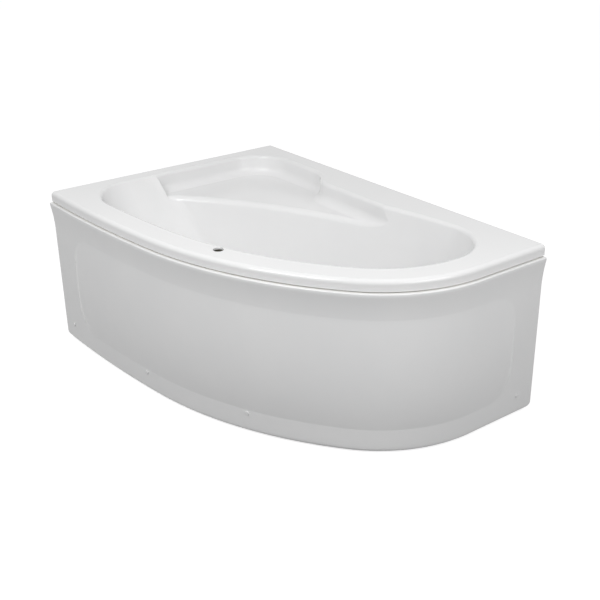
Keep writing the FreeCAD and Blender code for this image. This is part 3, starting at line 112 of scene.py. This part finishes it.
# Points of the upright section, from the top of the upstand down: out from the wall and level.
# The steps are fine at both creases of the pillow.
profile = [(-UPSTAND_INSET, UPSTAND_TOP), (-UPSTAND_INSET, LEDGE), (LIP - LIP_ROUND, LEDGE)]
for angle in (22.5, 45.0, 67.5, 90.0):
    profile.append((LIP - LIP_ROUND + LIP_ROUND * sin_of(angle),
                    LEDGE - LIP_ROUND + LIP_ROUND * cos_of(angle)))
profile.append((LIP, FLARE_TOP))
flare_levels = (ladder(FLARE_TOP, PILLOW_TOP + CREASE, 12) + [PILLOW_TOP, PILLOW_TOP - CREASE]
                + ladder(PILLOW_TOP - CREASE, FLARE_END, 3))
profile += [(flare(level), level) for level in flare_levels]
wall_levels = (ladder(FLARE_END, PILLOW_FOOT + CREASE, 52) + [PILLOW_FOOT, PILLOW_FOOT - CREASE]
               + ladder(PILLOW_FOOT - CREASE, FOOT_LEVEL + FOOT_ROUND, 8))
profile += [(0.0, level) for level in wall_levels]
for angle in (15.0, 30.0, 45.0, 60.0, 75.0, 90.0):
    profile.append((FOOT_ROUND * (cos_of(angle) - 1), FOOT_LEVEL + FOOT_ROUND * (1 - sin_of(angle))))


def chosen(mesh_object, test):
    """Select just the faces whose centre passes a test, and go on in edit mode."""
    bpy.ops.object.mode_set(mode="OBJECT")
    for corner in mesh_object.data.vertices:
        corner.select = False
    for edge in mesh_object.data.edges:
        edge.select = False
    for face in mesh_object.data.polygons:
        face.select = test(face.center)
    bpy.ops.object.mode_set(mode="EDIT")


def turn_profile(centre, degrees, steps):
    """Draw the selected edge on round an upright axis, left-handed along the front."""
    bpy.ops.mesh.spin(steps=steps, angle=-math.radians(degrees), center=plan(centre.x, centre.y),
                      axis=(0, 0, 1))


bpy.ops.mesh.primitive_plane_add(size=MM, location=plan(0.0, -WIDTH - profile[0][0], profile[0][1]))
panel = bpy.context.object
panel.name = "apron_panel"
bpy.ops.object.transform_apply(location=True)
bpy.ops.object.mode_set(mode="EDIT")
bpy.ops.mesh.select_all(action="SELECT")
bpy.ops.mesh.merge(type="CENTER")
for (before_out, before_level), (out, level) in zip(profile, profile[1:]):
    step = Vector((0.0, before_out - out, level - before_level)) * MM
    bpy.ops.mesh.extrude_region_move(TRANSFORM_OT_translate={"value": step})
bpy.ops.mesh.select_all(action="SELECT")
pillow_turn = math.degrees(math.asin(PILLOW_START / bow_radius))
end_turn = math.degrees(END_FACING / bow_radius)
turn_profile(bow_centre, pillow_turn, 20)
turn_profile(bow_centre, end_turn, 20)
turn_profile(bow_centre, BOW_SWEEP - pillow_turn - end_turn, 64)
turn_profile(shoulder_centre, SHOULDER_SWEEP, 104)
turn_profile(nose_centre, NOSE_SWEEP, 62)
for run, steps in ((straight - PILLOW_STOP - END_FACING, 17), (END_FACING, 20), (PILLOW_STOP, 16)):
    for step in range(steps):
        bpy.ops.mesh.extrude_region_move(TRANSFORM_OT_translate={"value": (0.0, run / steps * MM, 0.0)})
bpy.ops.object.mode_set(mode="OBJECT")

bow_run = math.radians(BOW_SWEEP) * bow_radius
shoulder_run = math.radians(SHOULDER_SWEEP) * SHOULDER_RADIUS
nose_run = math.radians(NOSE_SWEEP) * NOSE_RADIUS
pillow_first = math.radians(pillow_turn) * bow_radius
pillow_last = bow_run + shoulder_run + nose_run + straight - PILLOW_STOP


def along_front(x, y):
    """Run along the front from the short wall to a point near it, and the outward direction there."""
    from_nose = Vector((x, y)) - nose_centre
    if y > -straight:
        return bow_run + shoulder_run + nose_run + y + straight, Vector((1.0, 0.0))
    if math.degrees(math.atan2(from_nose.x, -from_nose.y)) > turned:
        angle = math.atan2(from_nose.x, -from_nose.y)
        nose_part = (angle - math.radians(turned)) * NOSE_RADIUS
        return bow_run + shoulder_run + nose_part, from_nose.normalized()
    from_shoulder = Vector((x, y)) - shoulder_centre
    angle = math.atan2(from_shoulder.x, -from_shoulder.y)
    if math.degrees(angle) > BOW_SWEEP:
        return bow_run + (angle - math.radians(BOW_SWEEP)) * SHOULDER_RADIUS, from_shoulder.normalized()
    from_bow = Vector((x, y)) - bow_centre
    return math.atan2(from_bow.x, -from_bow.y) * bow_radius, from_bow.normalized()


def pillow_height(run, level):
    """How far the pillow stands out of the wall: crowned up and down, with round corners and ends."""
    inside = min(run - pillow_first, pillow_last - run)
    if inside <= 0:
        return 0.0
    half = (PILLOW_TOP - PILLOW_FOOT) / 2
    if inside < PILLOW_CORNER:
        half -= PILLOW_CORNER - math.sqrt(PILLOW_CORNER ** 2 - (PILLOW_CORNER - inside) ** 2)
    share = (level - (PILLOW_TOP + PILLOW_FOOT) / 2 + half) / (2 * half)
    if share <= 0 or share >= 1:
        return 0.0
    rise = min(inside / PILLOW_END_ROUND, 1.0)
    crown = share * (1 - share) * (1 + PILLOW_SAG * (1 - share)) / CROWN_PEAK
    return PILLOW_PROUD * crown * math.sqrt(1 - (1 - rise) ** 2)


for corner in panel.data.vertices:
    place = (corner.co - WALL_CORNER) / MM
    if PILLOW_FOOT < place.z < PILLOW_TOP:
        run, outward = along_front(place.x, place.y)
        corner.co += outward.to_3d() * pillow_height(run, place.z) * MM
facing_out = sum(face.normal.dot(face.center - plan(LENGTH / 2, -WIDTH / 3, face.center.z / MM))
                 for face in panel.data.polygons if 0.1 < face.center.z < 0.4)
bpy.ops.object.mode_set(mode="EDIT")
bpy.ops.mesh.select_all(action="SELECT")
if facing_out < 0:
    bpy.ops.mesh.flip_normals()
for gap_point, gap_normal, beyond in (
        (plan(WALL_GAP, 0.0), (1, 0, 0), lambda point: point.x < plan(WALL_GAP, 0.0).x),
        (plan(0.0, -WALL_GAP), (0, 1, 0), lambda point: point.y > plan(0.0, -WALL_GAP).y)):
    chosen(panel, lambda centre: centre.z > (LEDGE + 1.0) * MM)
    bpy.ops.mesh.bisect(plane_co=gap_point, plane_no=gap_normal)
    chosen(panel, lambda centre, beyond=beyond: centre.z > (LEDGE + 1.0) * MM and beyond(centre))
    bpy.ops.mesh.delete(type="FACE")
for clip_normal in ((-1, 0, -1), (0, 1, -1)):
    bpy.ops.mesh.select_all(action="SELECT")
    bpy.ops.mesh.bisect(plane_co=plan(0.0, 0.0, CORNER_CLIP), plane_no=clip_normal, clear_outer=True)
bpy.ops.mesh.select_all(action="SELECT")
bpy.ops.mesh.remove_doubles(threshold=SEAM * MM)
bpy.ops.object.mode_set(mode="OBJECT")
sheet = panel.modifiers.new("sheet", "SOLIDIFY")
sheet.thickness = PANEL_SKIN * MM
sheet.offset = -1.0
sheet.use_even_offset = True
bpy.ops.object.modifier_apply(modifier="sheet")
bpy.ops.object.shade_smooth_by_angle(angle=math.radians(SHARP_EDGE))

PLASTIC_IOR = 1.49


def finish(name, dark, light, grain, roughness, relief, texture="noise", stretch=(1.0, 1.0, 1.0),
           **sockets):
    """Material whose colour and roughness follow one grain and whose relief follows a finer one.

    grain is the coarse pattern's scale per metre, roughness its least and most value, and relief
    the fine pattern's scale and its depth in millimetres.
    """
    material = bpy.data.materials.new(name)
    material.use_nodes = True
    tree = material.node_tree
    shader = tree.nodes["Principled BSDF"]
    place = tree.nodes.new("ShaderNodeTexCoord")
    mapping = tree.nodes.new("ShaderNodeMapping")
    mapping.inputs["Scale"].default_value = stretch
    tree.links.new(place.outputs["Object"], mapping.inputs["Vector"])
    if texture == "flakes":
        pattern = tree.nodes.new("ShaderNodeTexVoronoi")
        value = pattern.outputs["Color"]
    else:
        pattern = tree.nodes.new("ShaderNodeTexNoise")
        pattern.inputs["Detail"].default_value = 5.0
        value = pattern.outputs[0]
    pattern.inputs["Scale"].default_value = grain
    tree.links.new(mapping.outputs["Vector"], pattern.inputs["Vector"])
    ramp = tree.nodes.new("ShaderNodeValToRGB")
    grain_low, grain_high = 0.3, 0.7
    ramp.color_ramp.elements[0].position = grain_low
    ramp.color_ramp.elements[0].color = (*dark, 1.0)
    ramp.color_ramp.elements[1].position = grain_high
    ramp.color_ramp.elements[1].color = (*light, 1.0)
    tree.links.new(value, ramp.inputs["Fac"])
    tree.links.new(ramp.outputs["Color"], shader.inputs["Base Color"])
    sheen = tree.nodes.new("ShaderNodeMapRange")
    sheen.inputs["From Min"].default_value = grain_low
    sheen.inputs["From Max"].default_value = grain_high
    sheen.inputs["To Min"].default_value = roughness[0]
    sheen.inputs["To Max"].default_value = roughness[1]
    tree.links.new(value, sheen.inputs["Value"])
    tree.links.new(sheen.outputs["Result"], shader.inputs["Roughness"])
    fine = tree.nodes.new("ShaderNodeTexNoise")
    fine.inputs["Scale"].default_value = relief[0]
    tree.links.new(mapping.outputs["Vector"], fine.inputs["Vector"])
    bump = tree.nodes.new("ShaderNodeBump")
    bump.inputs["Distance"].default_value = relief[1] * MM
    bump.inputs["Strength"].default_value = 1.0
    tree.links.new(fine.outputs[0], bump.inputs["Height"])
    tree.links.new(bump.outputs["Normal"], shader.inputs["Normal"])
    for socket, number in sockets.items():
        shader.inputs[socket.replace("_", " ")].default_value = number
    return material


panel_acrylic = finish("panel_acrylic", dark=(0.855, 0.857, 0.86), light=(0.88, 0.88, 0.88),
                       grain=5.0, roughness=(0.2, 0.26), relief=(260.0, 0.012), IOR=PLASTIC_IOR)
panel.data.materials.append(panel_acrylic)
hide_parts("front_panel")
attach(panel, "bath")

# Tub: one sheet of glossy white acrylic drawn down into a mould, deck, basin and corner seat in
# one. Its underside is sprayed with chopped glass fibre in resin, rough and slightly amber.
LOOKS_DOWN, STRANDS, RESIN_WIDTH, RESIN_ROUGHNESS = -0.03, 70.0, 0.25, 0.62
STRAND_EDGE, RESIN = (0.62, 0.58, 0.45, 1.0), (0.74, 0.7, 0.56, 1.0)
tub_acrylic = finish("tub_acrylic", dark=(0.865, 0.866, 0.868), light=(0.885, 0.885, 0.885),
                     grain=4.0, roughness=(0.1, 0.16), relief=(220.0, 0.01), IOR=PLASTIC_IOR)


def back_with_fibre(material):
    """Give every face that looks down the look of the sprayed glass-fibre backing."""
    tree = material.node_tree
    shader = tree.nodes["Principled BSDF"]
    ramp = shader.inputs["Base Color"].links[0].from_socket
    sheen = shader.inputs["Roughness"].links[0].from_socket
    geometry = tree.nodes.new("ShaderNodeNewGeometry")
    split = tree.nodes.new("ShaderNodeSeparateXYZ")
    tree.links.new(geometry.outputs["Normal"], split.inputs["Vector"])
    under = tree.nodes.new("ShaderNodeMath")
    under.operation = "LESS_THAN"
    under.inputs[1].default_value = LOOKS_DOWN
    tree.links.new(split.outputs["Z"], under.inputs[0])
    place = tree.nodes.new("ShaderNodeTexCoord")
    strands = tree.nodes.new("ShaderNodeTexVoronoi")
    strands.feature = "DISTANCE_TO_EDGE"
    strands.inputs["Scale"].default_value = STRANDS
    tree.links.new(place.outputs["Object"], strands.inputs["Vector"])
    fibre = tree.nodes.new("ShaderNodeValToRGB")
    fibre.color_ramp.elements[0].color = STRAND_EDGE
    fibre.color_ramp.elements[1].position = RESIN_WIDTH
    fibre.color_ramp.elements[1].color = RESIN
    tree.links.new(strands.outputs["Distance"], fibre.inputs["Fac"])
    colour = tree.nodes.new("ShaderNodeMix")
    colour.data_type = "RGBA"
    tree.links.new(under.outputs[0], colour.inputs["Factor"])
    tree.links.new(ramp, colour.inputs[6])
    tree.links.new(fibre.outputs["Color"], colour.inputs[7])
    tree.links.new(colour.outputs[2], shader.inputs["Base Color"])
    gloss = tree.nodes.new("ShaderNodeMix")
    tree.links.new(under.outputs[0], gloss.inputs["Factor"])
    tree.links.new(sheen, gloss.inputs[2])
    gloss.inputs[3].default_value = RESIN_ROUGHNESS
    tree.links.new(gloss.outputs[0], shader.inputs["Roughness"])


def dress(material, *names):
    """Put a material on CAD nodes."""
    for name in names:
        for material_slot in nodes[name].material_slots:
            material_slot.material = material


back_with_fibre(tub_acrylic)
dress(tub_acrylic, "bath_shell")

# Board under the basin's floor: 16 mm raw chipboard, glued to the shell. It spreads a bather's
# weight and takes the screws of the frame's rails.
chipboard = finish("raw_chipboard", dark=(0.36, 0.235, 0.125), light=(0.62, 0.45, 0.27),
                   grain=260.0, roughness=(0.7, 0.85), relief=(420.0, 0.12), texture="flakes")
dress(chipboard, "base_board")

# Timber under the deck: sawn softwood strips and blocks, bonded where the posts push up. The grain
# runs along each strip.
softwood_long = finish("softwood_along_x", dark=(0.47, 0.3, 0.15), light=(0.66, 0.47, 0.27),
                       grain=70.0, roughness=(0.6, 0.75), relief=(900.0, 0.1), stretch=(0.06, 1.0, 1.0))
softwood_cross = finish("softwood_along_y", dark=(0.46, 0.3, 0.15), light=(0.65, 0.46, 0.27),
                        grain=70.0, roughness=(0.6, 0.75), relief=(900.0, 0.1), stretch=(1.0, 0.06, 1.0))
dress(softwood_long, "batten_back", "deck_blocks")
dress(softwood_cross, "batten_end")

# Steel frame: welded square tube with posts and plates, zinc plated after welding, which leaves
# a faint spangle.
zinc = finish("zinc_plated_tube", dark=(0.42, 0.43, 0.45), light=(0.6, 0.61, 0.62),
              grain=160.0, roughness=(0.32, 0.48), relief=(500.0, 0.02), texture="flakes", Metallic=1.0)
dress(zinc, "frame_rails", "frame_crossbars", "deck_posts", "post_plates")

# Fixings: nuts, screws and the feet's rods, and hooks, arms and clips bent from steel strip. All
# are bright zinc plated.
bright_zinc = finish("bright_zinc", dark=(0.58, 0.585, 0.6), light=(0.72, 0.72, 0.72),
                     grain=90.0, roughness=(0.22, 0.36), relief=(700.0, 0.015), Metallic=1.0)
dress(bright_zinc, "plate_screws", "board_screws", "foot_nuts", "wall_hooks", "panel_arms",
      "panel_clips", "panel_screws", "foot_rod_1", "foot_rod_2", "foot_rod_3", "foot_rod_4",
      "foot_rod_5")

# Feet: each rod stands in a socket of a pad, moulded in matt black plastic, which spreads the
# load and grips the floor.
foot_plastic = finish("foot_plastic", dark=(0.018, 0.018, 0.019), light=(0.032, 0.032, 0.034),
                      grain=120.0, roughness=(0.5, 0.65), relief=(800.0, 0.03))
dress(foot_plastic, "foot_pad_1", "foot_pad_2", "foot_pad_3", "foot_pad_4", "foot_pad_5")

# Screw caps: small round covers moulded in white plastic, pushed over the heads of the panel's
# four screws.
cap_plastic = finish("cap_plastic", dark=(0.82, 0.82, 0.82), light=(0.86, 0.86, 0.86),
                     grain=300.0, roughness=(0.18, 0.26), relief=(1500.0, 0.005), IOR=PLASTIC_IOR)
dress(cap_plastic, "screw_caps")

# Bright trim: the waste's flange and plug and the overflow's ring and knob, polished brass castings
# with a chrome plating.
chrome = finish("polished_chrome", dark=(0.72, 0.735, 0.75), light=(0.8, 0.81, 0.82),
                grain=60.0, roughness=(0.04, 0.09), relief=(300.0, 0.002), Metallic=1.0)
dress(chrome, "drain_flange", "pop_up_plug", "overflow_ring", "overflow_knob")

# Waste fittings: guide, cup, trap, nuts and pipes, injection moulded in satin white polypropylene
# and screwed together by hand.
waste_plastic = finish("waste_plastic", dark=(0.72, 0.72, 0.7), light=(0.78, 0.78, 0.765),
                       grain=40.0, roughness=(0.35, 0.45), relief=(900.0, 0.02), IOR=PLASTIC_IOR)
dress(waste_plastic, "drain_guide", "drain_cup", "trap_bend", "trap_inlet_nut", "trap_outlet_nut",
      "outlet_pipe", "overflow_elbow", "overflow_pipe", "overflow_low_nut", "overflow_top_nut")

# Seals: black rubber rings under the tub at the drain, behind the overflow and round the plug,
# squeezed tight by their fittings.
rubber = finish("seal_rubber", dark=(0.012, 0.012, 0.012), light=(0.022, 0.022, 0.022),
                grain=250.0, roughness=(0.6, 0.8), relief=(1200.0, 0.02))
dress(rubber, "drain_gasket", "overflow_gasket", "plug_seal")

# Pull cable: a steel wire in a satin black sheath, clipped in at the overflow's elbow and at the
# waste cup. The knob pulls it to lift the plug.
cable_sheath = finish("cable_sheath", dark=(0.02, 0.02, 0.022), light=(0.045, 0.045, 0.05),
                      grain=500.0, roughness=(0.38, 0.5), relief=(1500.0, 0.03))
dress(cable_sheath, "pull_cable")

# Studio: a white floor that keeps the bath's shadow, a white surround that is brightest overhead,
# and two soft lamps, before the front and past the nose end. Floor and surround look white, but
# light the bath softly.
FLOOR_SIZE, FLOOR_DROP = 30.0, 0.0005
FLOOR_SEEN, FLOOR_GLOW, FLOOR_UNSEEN = 0.45, 0.78, 0.2
SKY_SEEN, SKY_EVEN, SKY_OVERHEAD, SKY_FALL = 1.0, 0.25, 0.53, 2.0
WHITE = (1.0, 1.0, 1.0, 1.0)
LAMP_AIM, LAMP_SIZE = Vector((0.0, 0.0, 0.3)), 1.2
LAMPS = (("key", (0.5, -1.9, 2.2), 28.0), ("fill", (2.2, 0.1, 1.5), 14.4))


def looked_at(tree):
    """Socket that is 1 for what the camera sees, straight on, mirrored or through glass."""
    paths = tree.nodes.new("ShaderNodeLightPath")
    seen = paths.outputs["Is Camera Ray"]
    for kind in ("Is Glossy Ray", "Is Transmission Ray"):
        either = tree.nodes.new("ShaderNodeMath")
        either.operation = "MAXIMUM"
        tree.links.new(seen, either.inputs[0])
        tree.links.new(paths.outputs[kind], either.inputs[1])
        seen = either.outputs[0]
    return seen


scene.view_settings.view_transform = "Standard"
bpy.ops.mesh.primitive_plane_add(size=FLOOR_SIZE, location=(0, 0, -FLOOR_DROP))
floor = bpy.context.object
floor.name = "floor"
paper = bpy.data.materials.new("floor_paper")
paper.use_nodes = True
tree = paper.node_tree
tree.nodes.clear()
output = tree.nodes.new("ShaderNodeOutputMaterial")
shade = tree.nodes.new("ShaderNodeBsdfDiffuse")
shade.inputs["Color"].default_value = (FLOOR_SEEN, FLOOR_SEEN, FLOOR_SEEN, 1.0)
glow = tree.nodes.new("ShaderNodeEmission")
glow.inputs["Color"].default_value = WHITE
glow.inputs["Strength"].default_value = FLOOR_GLOW
bright = tree.nodes.new("ShaderNodeAddShader")
tree.links.new(shade.outputs[0], bright.inputs[0])
tree.links.new(glow.outputs[0], bright.inputs[1])
plain = tree.nodes.new("ShaderNodeBsdfDiffuse")
plain.inputs["Color"].default_value = (FLOOR_UNSEEN, FLOOR_UNSEEN, FLOOR_UNSEEN, 1.0)
choice = tree.nodes.new("ShaderNodeMixShader")
tree.links.new(looked_at(tree), choice.inputs[0])
tree.links.new(plain.outputs[0], choice.inputs[1])
tree.links.new(bright.outputs[0], choice.inputs[2])
tree.links.new(choice.outputs[0], output.inputs["Surface"])
floor.data.materials.append(paper)

world = bpy.data.worlds.new("studio")
scene.world = world
world.use_nodes = True
tree = world.node_tree
background = tree.nodes["Background"]
background.inputs["Color"].default_value = WHITE
direction = tree.nodes.new("ShaderNodeTexCoord")
parts = tree.nodes.new("ShaderNodeSeparateXYZ")
tree.links.new(direction.outputs["Generated"], parts.inputs["Vector"])
above = tree.nodes.new("ShaderNodeMath")
above.operation = "MAXIMUM"
above.inputs[1].default_value = 0.0
tree.links.new(parts.outputs["Z"], above.inputs[0])
overhead = tree.nodes.new("ShaderNodeMath")
overhead.operation = "POWER"
overhead.inputs[1].default_value = SKY_FALL
tree.links.new(above.outputs[0], overhead.inputs[0])
sky = tree.nodes.new("ShaderNodeMath")
sky.operation = "MULTIPLY_ADD"
sky.inputs[1].default_value = SKY_OVERHEAD
sky.inputs[2].default_value = SKY_EVEN
tree.links.new(overhead.outputs[0], sky.inputs[0])
strength = tree.nodes.new("ShaderNodeMix")
tree.links.new(looked_at(tree), strength.inputs["Factor"])
tree.links.new(sky.outputs[0], strength.inputs[2])
strength.inputs[3].default_value = SKY_SEEN
tree.links.new(strength.outputs[0], background.inputs["Strength"])

for name, place, power in LAMPS:
    light = bpy.data.lights.new(name, "AREA")
    light.energy = power
    light.size = LAMP_SIZE
    lamp = bpy.data.objects.new(name, light)
    scene.collection.objects.link(lamp)
    toward = LAMP_AIM - Vector(place)
    lamp.matrix_world = Matrix.Translation(place) @ toward.to_track_quat("-Z", "Y").to_matrix().to_4x4()
